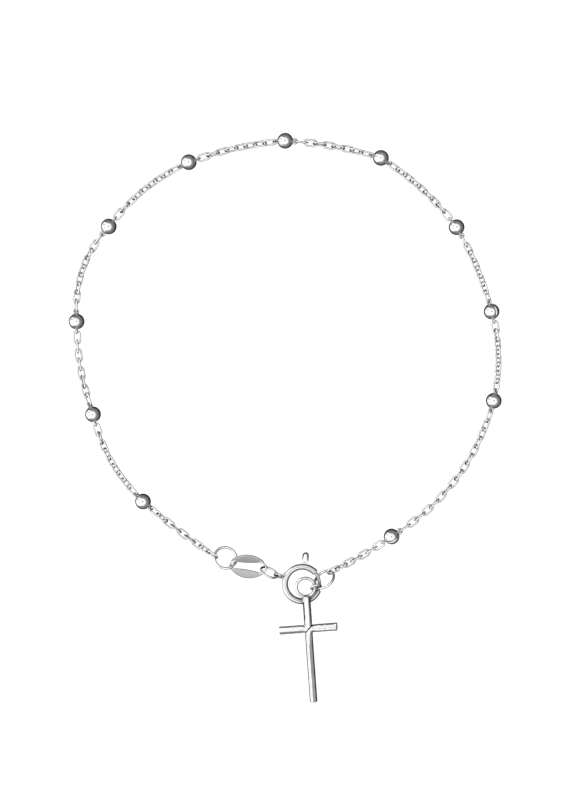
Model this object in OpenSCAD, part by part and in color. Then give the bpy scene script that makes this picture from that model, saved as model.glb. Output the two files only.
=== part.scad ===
// Rosary bracelet in silver, closed and lying flat, in millimetres.
// The surface it rests on is z = 0, and the origin is under the middle of the whole bracelet.
// The cross points towards -Y. The chain runs clockwise seen from above: over the right side
// from the top bead to the clasp's jump ring, and over the left side from the flat link back to the top.

/* [Beads] */
// Diameter of each bead
bead_d = 2.2; // [2.1:0.05:2.24]
// Outer diameter of the wire eyes soldered on both sides of a bead
bead_eye_d = 0.9; // [0.86:0.02:0.92]
// Wire of the bead's eyes
bead_eye_wire = 0.24; // [0.2:0.01:0.25]

/* [Chain] */
// Length of one oval link, outside
link_l = 2.04; // [2:0.01:2.06]
// Width of one oval link, outside
link_w = 1.14; // [1.12:0.01:1.16]
// Wire of the chain's links
link_wire = 0.26; // [0.22:0.01:0.28]

/* [Jump rings] */
// Outer diameter of the large jump ring beside the clasp
jump_right_d = 3.36; // [3.32:0.01:3.38]
// Outer diameter of the large jump ring beside the flat link
jump_left_d = 3.46; // [3.42:0.01:3.48]
// Wire of the two large jump rings
jump_wire = 0.36; // [0.32:0.01:0.38]
// Outer diameter of the ring between the flat link and the clasp
tag_ring_d = 2.8; // [2.78:0.01:2.82]
// Outer diameter of the ring that carries the cross
cross_ring_d = 1.68; // [1.66:0.01:1.69]
// Wire of those two smaller rings
small_wire = 0.3; // [0.26:0.01:0.32]

/* [Flat link] */
// Length of the two flats, tip to tip
tag_flat_l = 4.6; // [4.5:0.02:4.66]
// Distance from the link's middle line to the outer edge of a flat
tag_half_w = 1.87; // [1.75:0.01:1.88]
// Distance from the link's middle line to the inner edge of a flat
tag_half_slot = 0.55; // [0.53:0.01:0.57]
// Thickness of the flats
tag_t = 0.24; // [0.2:0.01:0.25]
// Wire of the bows at both ends of the flat link
tag_wire = 0.28; // [0.26:0.01:0.3]

/* [Clasp] */
// Outer diameter of the spring ring
clasp_d = 5.68; // [5.66:0.01:5.69]
// Diameter of the clasp's round tube
clasp_tube = 0.86; // [0.84:0.01:0.87]
// Bore of the tube
clasp_bore = 0.62; // [0.58:0.01:0.64]
// Diameter of the tongue that slides in the tube
tongue_d = 0.46; // [0.42:0.01:0.47]
// Width of the thumb tab
tab_w = 0.92; // [0.8:0.02:1]
// Thickness of the thumb tab
tab_t = 0.46; // [0.4:0.02:0.5]

/* [Cross] */
// Outer diameter of the cross's eyelet
eyelet_d = 3; // [2.96:0.02:3.04]
// Wire of the eyelet
eyelet_wire = 0.42; // [0.38:0.01:0.44]
// Length from the eyelet's middle to the foot of the cross
cross_l = 16.35; // [16:0.05:16.5]
// Length of the crossbar
cross_w = 8.16; // [7.6:0.02:8.4]
// Diameter of the stem at its foot
stem_end_d = 1.06; // [1:0.02:1.08]
// Diameter of the stem where the crossbar meets it
stem_mid_d = 1.08; // [1:0.02:1.12]
// Diameter of the crossbar at its ends
bar_end_d = 1.12; // [1.04:0.02:1.14]
// Diameter of the crossbar at the stem
bar_mid_d = 1.06; // [1:0.02:1.1]
// Diameter of the stem just under the eyelet
neck_d = 1.18; // [1.1:0.02:1.22]

/* [Hidden] */
// Facets asked for on round shapes
$fn = 48;
// Where each bead's centre lies, x and y, clockwise from the top
bead_xy = [
  [-0.1, 38.8], [13.3, 36.4], [23.9, 26.7], [28.8, 14.9], [29.1, 2.4], [14.8, -16.6],
  [-20.0, -11.7], [-27.0, 0.5], [-29.3, 13.5], [-24.8, 26.8], [-13.6, 35.8]
];
bead_count = len(bead_xy);
bead_r = bead_d / 2;
// Distance from a bead's centre to the middle of its eye, and to the end wire of the first link
eye_reach = 1.38;
first_reach = 1.35;
// Names for the two ends of the chain, which hold a large jump ring and no bead
RIGHT_RING = 101;
LEFT_RING = 102;
// Stretches of chain in order: start, end, links, outward bulge, roll of the first, a middle and the last link.
// A roll of 0 lies a link flat, 90 stands it on edge, and every second link is turned 90 more.
S_FROM = 0;
S_TO = 1;
S_LINKS = 2;
S_BULGE = 3;
S_ROLL_A = 4;
S_ROLL_M = 5;
S_ROLL_B = 6;
right_stretches = [
  [1, 2, 8, 0.5, 85, 110, 135],
  [2, 3, 9, 0.7, 35, 30, 0],
  [3, 4, 8, 0.5, 90, 125, 135],
  [4, 5, 8, 0.85, 0, 40, 45],
  [5, 6, 16, 2.4, 50, 15, 0],
  [6, RIGHT_RING, 7, 0.3, 0, 0, 40]
];
left_stretches = [
  [LEFT_RING, 7, 9, 0.3, 60, 0, 45],
  [7, 8, 9, 1.15, 45, 40, 0],
  [8, 9, 8, 0.7, 50, 75, 90],
  [9, 10, 9, 1.65, 76, 40, 90],
  [10, 11, 9, 1, 0, 40, 45],
  [11, 1, 8, 0.55, 0, 35, 45]
];
all_stretches = concat(right_stretches, left_stretches);
// Ring poses: centre, heading of the level diameter, tilt about that diameter
R_POS = 0;
R_HEADING = 1;
R_TILT = 2;
jump_right_pose = [[5.375, -22.58, 1.585], 36.4, -53.6];
jump_left_pose = [[-8.47, -19.61, 0.86], -26, -24.5];
cross_ring_pose = [[4.2, -23.59, 2.143], 16.1, 63.6];
tag_ring_pose = [[-2.315, -21.62, 1.32], -26, -67.5];
tag_pose = [[-5.38, -20.8, 0.93], -6.1, 25];
// Where the chain's end links hook the large jump rings, as angles round those rings
hook_angle_right = 25;
hook_angle_left = 195;
// Clear space between a jump ring's wire and the end link's wire
hook_clear = 0.14;
// How far along the chain a raised end comes down to the table, from a bead, a left and a right ring
fall_bead = 4.5;
fall_left = 7;
fall_right = 8;
// Space under the lowest link
chain_lift = 0.03;
// Link centreline: bend radius, half the straight, and half the distance between the end wires
link_bend = (link_w - link_wire) / 2;
link_straight = link_l - link_w;
link_half = (link_l - link_wire) / 2;
// Clasp: middle, centreline radius, and angles counted from +X
clasp_pos = [2.28, -23.25, 0.971];
clasp_r = (clasp_d - clasp_tube) / 2;
gap_from = -22;
gap_to = 40;
tongue_from = -32;
tongue_to = 95;
tab_angle = 83;
slot_from = 76;
slot_to = 144;
slot_h = 0.36;
neck_h = 0.24;
neck_w = 0.4;
neck_from = 2.5;
tab_from = 3.14;
tab_to = 4.48;
// Clasp's eye: angle, reach of its middle, centreline radius, wire and tilt
eye_angle = 161;
eye_mid = 3.535;
eye_r = 0.56;
eye_wire = 0.28;
eye_tilt = -65.6;
// Solder at the eye's foot: where its root and its tip lie as angle and reach, and how thick each is
root_at = [148, 2.62];
root_d = 0.54;
tip_at = [160, 3.03];
foot_from = 2.7;
foot_d = 0.6;
// Flat link: bow radius on the left and on the right, where the bows' middles lie, the flats' tips and splay
bow_left_r = 0.66;
bow_right_r = 0.86;
bow_x = 1.75;
tag_tip_y = 0.8;
tag_splay = 4;
// Cross: eyelet's middle, turn seen from above, and the crossing's distance from the eyelet
eyelet_pos = [2.74, -23.6, 2.28];
cross_turn = 4.1;
cross_at = 5.88;
foot_z = 0.54;
eyelet_r = (eyelet_d - eyelet_wire) / 2;
cross_lean = atan((eyelet_pos.z - foot_z) / cross_l);

function bead_name(i) = str("bead_", i < 10 ? "0" : "", i);

function unit(v) = v / norm(v);

function flat(v) = [v.x, v.y, 0];

// A point of a tilted ring's centreline
function ring_point(pose, r, a) =
  let (h = pose[R_HEADING], t = pose[R_TILT], u = r * cos(a), v = r * sin(a))
  pose[R_POS] + [u * cos(h) - v * cos(t) * sin(h), u * sin(h) + v * cos(t) * cos(h), v * sin(t)];

// The point on a jump ring that the chain's end link hooks
function hook_point(name) = name == RIGHT_RING
  ? ring_point(jump_right_pose, (jump_right_d - jump_wire) / 2, hook_angle_right)
  : ring_point(jump_left_pose, (jump_left_d - jump_wire) / 2, hook_angle_left);

function bead_pos(i) = [bead_xy[i - 1].x, bead_xy[i - 1].y, bead_r];

// Where a stretch begins or ends: a bead's centre, or the end wire of the link inside a jump ring
function anchor(name, other) = name <= bead_count
  ? bead_pos(name)
  : hook_point(name)
    - unit(flat(bead_pos(other) - hook_point(name))) * (jump_wire / 2 + link_wire / 2 + hook_clear);

function reach(name) = name <= bead_count ? first_reach : 0;

function fall(name) = name <= bead_count ? fall_bead : (name == RIGHT_RING ? fall_right : fall_left);

// Height of a chain's middle line where its links lie on the table at this roll
function low_z(roll) = chain_lift + link_wire / 2 + link_bend * max(abs(cos(roll)), abs(sin(roll)));

function chord(s) = norm(flat(anchor(s[S_TO], s[S_FROM]) - anchor(s[S_FROM], s[S_TO])));

function arc_r(s) = (pow(chord(s), 2) / 4 + pow(s[S_BULGE], 2)) / (2 * s[S_BULGE]);

function arc_half(s) = 2 * atan(2 * s[S_BULGE] / chord(s));

function arc_len(s) = 2 * arc_r(s) * arc_half(s) * PI / 180;

function ease(left, length) = pow(max(0, 1 - left / length), 2);

// The chain's route: an arc that bulges outward, low between its two raised ends
function route(s, d) =
  let (
    a = anchor(s[S_FROM], s[S_TO]),
    b = anchor(s[S_TO], s[S_FROM]),
    run = unit(flat(b - a)),
    out = [-run.y, run.x, 0],
    turn = (2 * d / arc_len(s) - 1) * arc_half(s),
    r = arc_r(s),
    p = flat(a + b) / 2 + run * r * sin(turn) + out * (r * cos(turn) - r + s[S_BULGE]),
    low = low_z(roll_at(s, d / arc_len(s))),
    rise_a = (a.z - low) * ease(d, fall(s[S_FROM])),
    rise_b = (b.z - low) * ease(arc_len(s) - d, fall(s[S_TO]))
  )
  [p.x, p.y, low + rise_a + rise_b];

// The chain twists most near its two ends
function roll_at(s, share) = s[S_ROLL_M]
  + (s[S_ROLL_A] - s[S_ROLL_M]) * pow(1 - share, 4)
  + (s[S_ROLL_B] - s[S_ROLL_M]) * pow(share, 4);

function pitch(s) =
  (arc_len(s) - reach(s[S_FROM]) - reach(s[S_TO]) - 2 * link_half) / (s[S_LINKS] - 1);

// Distance along the route of link i's middle
function link_mid(s, i) = reach(s[S_FROM]) + link_half + i * pitch(s);

function link_roll(s, i) = roll_at(s, i / (s[S_LINKS] - 1)) + 90 * (i % 2);

// Moves a child so that its x runs along direction d, rolled by roll about it
module along(pos, d, roll) {
  side = unit(cross([0, 0, 1], d));
  up = cross(d, side);
  normal = cos(roll) * up + sin(roll) * side;
  wide = cross(normal, d);
  multmatrix([
    [d.x, wide.x, normal.x, pos.x],
    [d.y, wide.y, normal.y, pos.y],
    [d.z, wide.z, normal.z, pos.z],
    [0, 0, 0, 1]
  ]) children();
}

module at_pose(pose) {
  translate(pose[R_POS])
    rotate([0, 0, pose[R_HEADING]])
      rotate([pose[R_TILT], 0, 0])
        children();
}

module wire_ring(outer_d, wire_d) {
  rotate_extrude()
    translate([(outer_d - wire_d) / 2, 0])
      circle(d = wire_d);
}

// One oval link: two half rings joined by two straights
module link() {
  for (side = [-1, 1]) {
    translate([side * link_straight / 2, 0, 0])
      rotate([0, 0, -90 * side])
        rotate_extrude(angle = 180)
          translate([link_bend, 0])
            circle(d = link_wire);
    translate([-link_straight / 2, side * link_bend, 0])
      rotate([0, 90, 0])
        cylinder(d = link_wire, h = link_straight);
  }
}

module stretch(s) {
  for (i = [0 : s[S_LINKS] - 1]) {
    a = route(s, link_mid(s, i) - link_half);
    b = route(s, link_mid(s, i) + link_half);
    along((a + b) / 2, unit(b - a), link_roll(s, i)) link();
  }
}

// Heading of the chain where it leaves bead i
function bead_heading(i) =
  let (s = [for (t = all_stretches) if (t[S_FROM] == i) t][0], d = route(s, eye_reach) - bead_pos(i))
  atan2(d.y, d.x);

// The wire eye on the side of bead i where stretch s leaves it or comes to it
module bead_eye(i, s, comes) {
  d = comes
    ? unit(bead_pos(i) - route(s, arc_len(s) - eye_reach))
    : unit(route(s, eye_reach) - bead_pos(i));
  roll = link_roll(s, comes ? s[S_LINKS] - 1 : 0) + 90;
  along(bead_pos(i) + (comes ? -1 : 1) * d * eye_reach, d, roll)
    wire_ring(bead_eye_d, bead_eye_wire);
}

// A ball with a soldered eye towards each of the two stretches that it joins
module bead(i) {
  color("silver") union() {
    translate(bead_pos(i)) rotate([0, 0, bead_heading(i) + 90]) sphere(r = bead_r);
    for (s = all_stretches) {
      if (s[S_FROM] == i) bead_eye(i, s, false);
      if (s[S_TO] == i) bead_eye(i, s, true);
    }
  }
}

module chain_right() {
  color("gainsboro") for (s = right_stretches) stretch(s);
}

module chain_left() {
  color("gainsboro") for (s = left_stretches) stretch(s);
}

module jump_ring_left() {
  color("lightgray") at_pose(jump_left_pose) wire_ring(jump_left_d, jump_wire);
}

module jump_ring_right() {
  color("lightgray") at_pose(jump_right_pose) wire_ring(jump_right_d, jump_wire);
}

module tag_ring() {
  color("lightgray") at_pose(tag_ring_pose) wire_ring(tag_ring_d, small_wire);
}

module cross_ring() {
  color("lightgray") at_pose(cross_ring_pose) wire_ring(cross_ring_d, small_wire);
}

// Radius of an arc with this half chord and rise
function rise_r(half, rise) = (half * half + rise * rise) / (2 * rise);

// One leaf shaped flat, between an outer and an inner arc that meet in two tips
module tag_flat() {
  outer_r = rise_r(tag_flat_l / 2, tag_half_w - tag_tip_y);
  inner_r = rise_r(tag_flat_l / 2, tag_tip_y - tag_half_slot);
  intersection() {
    translate([0, tag_half_w - outer_r, 0]) cylinder(r = outer_r, h = tag_t, center = true);
    translate([0, tag_half_slot + inner_r, 0]) cylinder(r = inner_r, h = tag_t, center = true);
  }
}

// Half a wire ring that bulges towards +X
module bow(r) {
  rotate([0, 0, -90])
    rotate_extrude(angle = 180)
      translate([r, 0])
        circle(d = tag_wire);
}

module tag_link() {
  color("darkgray") at_pose(tag_pose) union() {
    rotate([0, 0, tag_splay]) tag_flat();
    mirror([0, 1, 0]) rotate([0, 0, tag_splay]) tag_flat();
    translate([bow_x, 0, 0]) bow(bow_right_r);
    translate([-bow_x, 0, 0]) rotate([0, 0, 180]) bow(bow_left_r);
  }
}

// A solid bar of round section bent to an arc of the clasp's ring
module clasp_arc(from, to, d) {
  rotate([0, 0, from])
    rotate_extrude(angle = to - from)
      translate([clasp_r, 0])
        circle(d = d);
}

function polar(at) = [at[1] * cos(at[0]), at[1] * sin(at[0]), 0];

// Solder that leaves the tube sideways and runs to the eye, and the foot straight under the eye
module solder() {
  run = polar(tip_at) - polar(root_at);
  translate(polar(root_at))
    rotate([0, 0, atan2(run.y, run.x)])
      rotate([0, 90, 0])
        cylinder(d1 = root_d, d2 = eye_wire, h = norm(run));
  rotate([0, 0, eye_angle])
    translate([foot_from, 0, 0])
      rotate([0, 90, 0])
        cylinder(d1 = foot_d, d2 = eye_wire, h = eye_mid - eye_r - foot_from + 0.08);
}

// A round tube bent to a ring, open over the gap, slotted outside for the tab, with its eye
module clasp_body() {
  color("silver") translate(clasp_pos) difference() {
    union() {
      clasp_arc(gap_to, 360 + gap_from, clasp_tube);
      solder();
      rotate([0, 0, eye_angle])
        translate([eye_mid, 0, 0])
          rotate([eye_tilt, 0, 0])
            wire_ring(2 * eye_r + eye_wire, eye_wire);
    }
    clasp_arc(gap_to - 2, 362 + gap_from, clasp_bore);
    rotate([0, 0, slot_from])
      rotate_extrude(angle = slot_to - slot_from)
        translate([clasp_r + clasp_tube / 4, -slot_h / 2])
          square([clasp_tube / 2, slot_h]);
  }
}

// The curved tongue inside the tube, and its thumb tab outside
module clasp_trigger() {
  color("gray") translate(clasp_pos) union() {
    clasp_arc(tongue_from, tongue_to, tongue_d);
    rotate([0, 0, tab_angle]) {
      translate([neck_from, -neck_w / 2, -neck_h / 2])
        cube([tab_from - neck_from + neck_w, neck_w, neck_h]);
      translate([tab_from, -tab_w / 2, -tab_t / 2])
        cube([tab_to - tab_from - tab_w / 2, tab_w, tab_t]);
      translate([tab_to - tab_w / 2, 0, 0])
        cylinder(d = tab_w, h = tab_t, center = true);
    }
  }
}

// Two crossing bars and the eyelet, soldered into one piece and leaning on the clasp
module cross_piece() {
  color("silver") translate(eyelet_pos)
    rotate([0, 0, cross_turn])
      rotate([cross_lean, 0, 0])
        union() {
          wire_ring(eyelet_d, eyelet_wire);
          translate([0, -cross_at, 0]) {
            rotate([-90, 0, 0]) cylinder(d1 = stem_mid_d, d2 = neck_d, h = cross_at - eyelet_r);
            rotate([90, 0, 0]) cylinder(d1 = stem_mid_d, d2 = stem_end_d, h = cross_l - cross_at);
            for (side = [-1, 1])
              rotate([0, 90 * side, 0]) cylinder(d1 = bar_mid_d, d2 = bar_end_d, h = cross_w / 2);
          }
        }
}

for (i = [1 : bead_count]) bead(i);
chain_right();
chain_left();
jump_ring_left();
tag_link();
tag_ring();
clasp_body();
clasp_trigger();
jump_ring_right();
cross_ring();
cross_piece();  // cross
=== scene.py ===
"""Looks of the silver rosary bracelet. Layout in millimetres, as in the part's source; meshes in metres."""
import math
import random

import bmesh
import bpy
import numpy as np
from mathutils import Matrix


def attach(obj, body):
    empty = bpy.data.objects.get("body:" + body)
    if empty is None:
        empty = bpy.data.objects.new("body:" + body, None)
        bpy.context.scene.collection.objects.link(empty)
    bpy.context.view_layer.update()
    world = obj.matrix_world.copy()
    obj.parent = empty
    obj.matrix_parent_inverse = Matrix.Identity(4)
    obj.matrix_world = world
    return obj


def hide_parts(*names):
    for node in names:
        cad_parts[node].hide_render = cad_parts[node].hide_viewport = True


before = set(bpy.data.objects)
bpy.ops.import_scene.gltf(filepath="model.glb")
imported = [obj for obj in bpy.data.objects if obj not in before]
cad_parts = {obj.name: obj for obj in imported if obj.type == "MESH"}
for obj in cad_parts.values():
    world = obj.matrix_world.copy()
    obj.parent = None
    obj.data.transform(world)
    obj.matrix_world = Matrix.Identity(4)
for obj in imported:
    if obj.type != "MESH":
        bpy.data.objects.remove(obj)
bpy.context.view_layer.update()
MM = 0.001
SEED = 11
rng = random.Random(SEED)

# Layout, the same values as the solids
BEAD_R = 1.1
BEAD_XY = [
    (-0.1, 38.8), (13.3, 36.4), (23.9, 26.7), (28.8, 14.9), (29.1, 2.4), (14.8, -16.6),
    (-20.0, -11.7), (-27.0, 0.5), (-29.3, 13.5), (-24.8, 26.8), (-13.6, 35.8),
]
EYE_REACH, FIRST_REACH = 1.38, 1.35
EYE_R, EYE_WIRE = 0.33, 0.12
LINK_L, LINK_W, LINK_WIRE = 2.04, 1.14, 0.26
LINK_BEND = (LINK_W - LINK_WIRE) / 2
LINK_HALF = (LINK_L - LINK_WIRE) / 2
RIGHT, LEFT = "right ring", "left ring"
# Stretches: start, end, links, outward bulge, and the roll at the first, a middle and the last link
RIGHT_STRETCHES = [
    (1, 2, 8, 0.5, 85, 110, 135), (2, 3, 9, 0.7, 35, 30, 0), (3, 4, 8, 0.5, 90, 125, 135),
    (4, 5, 8, 0.85, 0, 40, 45), (5, 6, 16, 2.4, 50, 15, 0), (6, RIGHT, 7, 0.3, 0, 0, 40),
]
LEFT_STRETCHES = [
    (LEFT, 7, 9, 0.3, 60, 0, 45), (7, 8, 9, 1.15, 45, 40, 0), (8, 9, 8, 0.7, 50, 75, 90),
    (9, 10, 9, 1.65, 76, 40, 90), (10, 11, 9, 1, 0, 40, 45), (11, 1, 8, 0.55, 0, 35, 45),
]
# Ring poses: centre, heading of the level diameter, tilt about it, radius of the centreline, wire radius
JUMP_RIGHT = ((5.375, -22.58, 1.585), 36.4, -53.6, 1.5, 0.18)
JUMP_LEFT = ((-8.47, -19.61, 0.86), -26, -24.5, 1.55, 0.18)
CROSS_RING = ((4.2, -23.59, 2.143), 16.1, 63.6, 0.69, 0.15)
TAG_RING = ((-2.315, -21.62, 1.32), -26, -67.5, 1.25, 0.15)
TAG = ((-5.38, -20.8, 0.93), -6.1, 25)
# Where on each jump ring the chain hooks on, as an angle, and how far from its ends a run falls to the surface
HOOK = {RIGHT: (JUMP_RIGHT, 25), LEFT: (JUMP_LEFT, 195)}
HOOK_CLEAR = 0.14
FALL = {RIGHT: 8.0, LEFT: 7.0}
FALL_BEAD = 4.5
CHAIN_LIFT = 0.03
CLASP = np.array([2.28, -23.25, 0.971])
CLASP_R, TUBE_R, BORE_R, TONGUE_R = 2.41, 0.43, 0.31, 0.23
EYELET = np.array([2.74, -23.6, 2.28])
EYELET_R, EYELET_WIRE = 1.29, 0.21
CROSS_TURN, CROSS_L, CROSS_AT, CROSS_W = 4.1, 16.35, 5.88, 8.16
FOOT_Z = 0.54


def unit(v):
    return v / np.linalg.norm(v)


def turned(heading, tilt):
    """Rotation of a ring pose: tilt about x, then heading about z."""
    h, t = math.radians(heading), math.radians(tilt)
    about_z = np.array([[math.cos(h), -math.sin(h), 0], [math.sin(h), math.cos(h), 0], [0, 0, 1]])
    about_x = np.array([[1, 0, 0], [0, math.cos(t), -math.sin(t)], [0, math.sin(t), math.cos(t)]])
    return about_z @ about_x


def along(d, roll):
    """Axes of a piece whose x runs along d, rolled by roll degrees about it."""
    side = unit(np.cross([0, 0, 1], d))
    up = np.cross(d, side)
    r = math.radians(roll)
    normal = math.cos(r) * up + math.sin(r) * side
    return np.stack([d, np.cross(normal, d), normal], 1)


def bead_pos(i):
    return np.array([*BEAD_XY[i - 1], BEAD_R])


def anchor(name, other):
    """A bead's centre, or the end wire of the link inside a jump ring."""
    if name not in HOOK:
        return bead_pos(name)
    (centre, heading, tilt, r, wire), angle = HOOK[name]
    a = math.radians(angle)
    hook = turned(heading, tilt) @ np.array([r * math.cos(a), r * math.sin(a), 0]) + np.array(centre)
    to = bead_pos(other) - hook
    to[2] = 0
    return hook - unit(to) * (wire + LINK_WIRE / 2 + HOOK_CLEAR)


class Stretch:
    """One run of chain between two beads, or between a bead and a jump ring."""

    def __init__(self, start, end, links, bulge, *rolls):
        self.start, self.end, self.links, self.bulge = start, end, links, bulge
        self.rolls = rolls
        self.a, self.b = anchor(start, end), anchor(end, start)
        chord = self.b - self.a
        chord[2] = 0
        self.chord = np.linalg.norm(chord)
        self.run = chord / self.chord
        self.out = np.array([-self.run[1], self.run[0], 0])
        self.r = (self.chord ** 2 / 4 + bulge ** 2) / (2 * bulge)
        self.half = 2 * math.atan(2 * bulge / self.chord)
        self.length = 2 * self.r * self.half
        self.first = 0 if start in HOOK else FIRST_REACH
        last = 0 if end in HOOK else FIRST_REACH
        self.pitch = (self.length - self.first - last - 2 * LINK_HALF) / (links - 1)

    def roll(self, share):
        """The chain's twist at a share of its length. It settles to the middle value soon after each end."""
        first, middle, last = self.rolls
        return middle + (first - middle) * (1 - share) ** 4 + (last - middle) * share ** 4

    def at(self, d):
        """The chain's middle line at distance d from the start."""
        turn = (2 * d / self.length - 1) * self.half
        p = (self.a + self.b) / 2 + self.run * self.r * math.sin(turn)
        p = p + self.out * (self.r * math.cos(turn) - self.r + self.bulge)
        roll = math.radians(self.roll(d / self.length))
        low = CHAIN_LIFT + LINK_WIRE / 2 + LINK_BEND * max(abs(math.cos(roll)), abs(math.sin(roll)))
        fall_a, fall_b = FALL.get(self.start, FALL_BEAD), FALL.get(self.end, FALL_BEAD)
        rise_a = (self.a[2] - low) * max(0, 1 - d / fall_a) ** 2
        rise_b = (self.b[2] - low) * max(0, 1 - (self.length - d) / fall_b) ** 2
        return np.array([p[0], p[1], low + rise_a + rise_b])

    def link_poses(self):
        """Centre, direction and roll of each link."""
        for i in range(self.links):
            middle = self.first + LINK_HALF + i * self.pitch
            a, b = self.at(middle - LINK_HALF), self.at(middle + LINK_HALF)
            yield (a + b) / 2, unit(b - a), self.roll(i / (self.links - 1)) + 90 * (i % 2)


STRETCHES = {"right": [Stretch(*s) for s in RIGHT_STRETCHES], "left": [Stretch(*s) for s in LEFT_STRETCHES]}
ALL_STRETCHES = STRETCHES["right"] + STRETCHES["left"]


# Mesh helpers, all in millimetres
def smoothed(data):
    """Turns the faces of a closed mesh outward and shades it smooth."""
    work = bmesh.new()
    work.from_mesh(data)
    bmesh.ops.recalc_face_normals(work, faces=work.faces)
    work.to_mesh(data)
    work.free()
    data.polygons.foreach_set("use_smooth", [True] * len(data.polygons))
    data.update()
    return data


class Shape:
    """Vertices and faces gathered from several parts."""

    def __init__(self):
        self.verts, self.faces, self.slots = [], [], []
        self.count = 0

    def add(self, verts, faces, slot=0):
        self.verts.append(np.asarray(verts, float))
        self.faces += [[k + self.count for k in f] for f in faces]
        self.slots += [slot] * len(faces)
        self.count += len(verts)
        return self

    def join(self, other, slot=0):
        for verts in other.verts:
            self.verts.append(verts)
        self.faces += [[k + self.count for k in f] for f in other.faces]
        self.slots += [slot] * len(other.faces)
        self.count += other.count
        return self

    def placed(self, axes, centre):
        self.verts = [v @ np.asarray(axes).T + np.asarray(centre) for v in self.verts]
        return self

    def mesh(self, name, scale=MM):
        data = bpy.data.meshes.new(name)
        data.from_pydata((np.concatenate(self.verts) * scale).tolist(), [], self.faces)
        data.polygons.foreach_set("material_index", self.slots)
        return smoothed(data)


def made(name, data):
    obj = bpy.data.objects.new(name, data)
    bpy.context.scene.collection.objects.link(obj)
    return obj


def grid_faces(rows, columns, wrap_rows, wrap_columns):
    """Four sided faces of a grid of points, counted row by row."""
    faces = []
    for i in range(rows if wrap_rows else rows - 1):
        for j in range(columns if wrap_columns else columns - 1):
            k, m = (i + 1) % rows, (j + 1) % columns
            faces.append([i * columns + j, k * columns + j, k * columns + m, i * columns + m])
    return faces


def loop_tube(path, radius, sides):
    """A closed wire along an anticlockwise path in the xy plane. radius is one value for each point."""
    path = np.asarray(path, float)
    tangent = np.roll(path, -1, 0) - np.roll(path, 1, 0)
    tangent /= np.linalg.norm(tangent, axis=1)[:, None]
    outward = np.stack([tangent[:, 1], -tangent[:, 0]], 1)
    b = np.arange(sides) * 2 * math.pi / sides
    r = np.broadcast_to(radius, (len(path),))[:, None]
    x = path[:, :1] + r * np.cos(b) * outward[:, :1]
    y = path[:, 1:] + r * np.cos(b) * outward[:, 1:]
    z = r * np.sin(b) + 0 * x
    return np.stack([x, y, z], 2).reshape(-1, 3), grid_faces(len(path), sides, True, True)


def swept(path, sections):
    """A closed bar: for each point of the path a section, as offsets from it, and a cap at both ends."""
    columns = len(sections[0])
    verts = [np.asarray(p, float) + offset for p, section in zip(path, sections) for offset in section]
    faces = grid_faces(len(path), columns, False, True)
    faces.append(list(range(columns)))
    faces.append([(len(path) - 1) * columns + j for j in reversed(range(columns))])
    return verts, faces


def lathe(profile, turns):
    """A closed body turned about z from (height, radius) pairs that begin and end on the axis."""
    inner = profile[1:-1]
    a = np.arange(turns) * 2 * math.pi / turns
    verts = [(r * math.cos(t), r * math.sin(t), h) for h, r in inner for t in a]
    faces = grid_faces(len(inner), turns, False, True)
    low, high = len(verts), len(verts) + 1
    verts += [(0, 0, profile[0][0]), (0, 0, profile[-1][0])]
    last = (len(inner) - 1) * turns
    for j in range(turns):
        k = (j + 1) % turns
        faces.append([low, k, j])
        faces.append([high, last + j, last + k])
    return verts, faces


def dip(off, width, depth):
    """1, less a smooth notch where off is 0."""
    return 1 - depth * math.exp(-(off / width) ** 2)


# Seams where a wire's two ends meet: half width, in degrees or mm, and depth as a share of the wire's radius
RING_SEAM = (0.6, 0.16)
LINK_SEAM = (0.03, 0.2)
SEAM_OFFSETS = (-2.4, -1.2, -0.7, -0.35, 0, 0.35, 0.7, 1.2, 2.4)


def ring_shape(r, wire, seam, sides=22, steps=110, wobble=0.0):
    """A closed round ring. seam is the angle of its seam, and wobble makes it a little less than round."""
    angles = set(np.round(np.arange(steps) * 360.0 / steps, 3))
    angles |= {round((seam + d) % 360, 3) for d in SEAM_OFFSETS}
    angles = np.array(sorted(angles))
    away = (angles - seam + 180) % 360 - 180
    radius = np.array([wire * dip(d, *RING_SEAM) for d in away])
    rad = np.radians(angles)
    reach = r * (1 + wobble * np.sin(2 * rad + 0.7) + 0.5 * wobble * np.sin(3 * rad))
    path = np.stack([reach * np.cos(rad), reach * np.sin(rad)], 1)
    return Shape().add(*loop_tube(path, radius, sides))


def link_shape(sides=14, bends=14):
    """One oval link lying in the xy plane, with the seam on one long side."""
    h = (LINK_L - LINK_W) / 2
    side = [-h, -0.6 * h, -0.25 * h, -0.1 * h, -0.045 * h, 0, 0.045 * h, 0.1 * h, 0.25 * h, 0.6 * h]
    points = [(x, -LINK_BEND) for x in side]
    quarter = math.pi / 2
    points += [
        (h + LINK_BEND * math.cos(a), LINK_BEND * math.sin(a))
        for a in np.linspace(-quarter, quarter, bends, endpoint=False)
    ]
    points += [(-x, LINK_BEND) for x in (-h, -0.5 * h, 0, 0.5 * h)]
    points += [
        (-h + LINK_BEND * math.cos(a), LINK_BEND * math.sin(a))
        for a in np.linspace(quarter, 3 * quarter, bends, endpoint=False)
    ]
    radius = [LINK_WIRE / 2 * (dip(x, *LINK_SEAM) if y < -0.99 * LINK_BEND else 1) for x, y in points]
    return loop_tube(points, radius, sides)


def rounded_bar(length, r_start, r_end, edge, steps):
    """(height, radius) pairs of a bar from z = 0: slightly uneven, as filed by hand, with a broken edge."""
    profile = [(0, 0)]
    for k in range(steps + 1):
        s = k / steps
        uneven = 1 + 0.012 * math.sin(9 * s + length) + 0.008 * math.sin(23 * s)
        profile.append((s * (length - edge), (r_start + (r_end - r_start) * s) * uneven))
    r = profile[-1][1]
    for k in range(1, 6):
        a = k * math.pi / 10
        profile.append((length - edge + edge * math.sin(a), r - edge * (1 - math.cos(a))))
    profile.append((length + 0.01, 0))
    return profile


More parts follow.
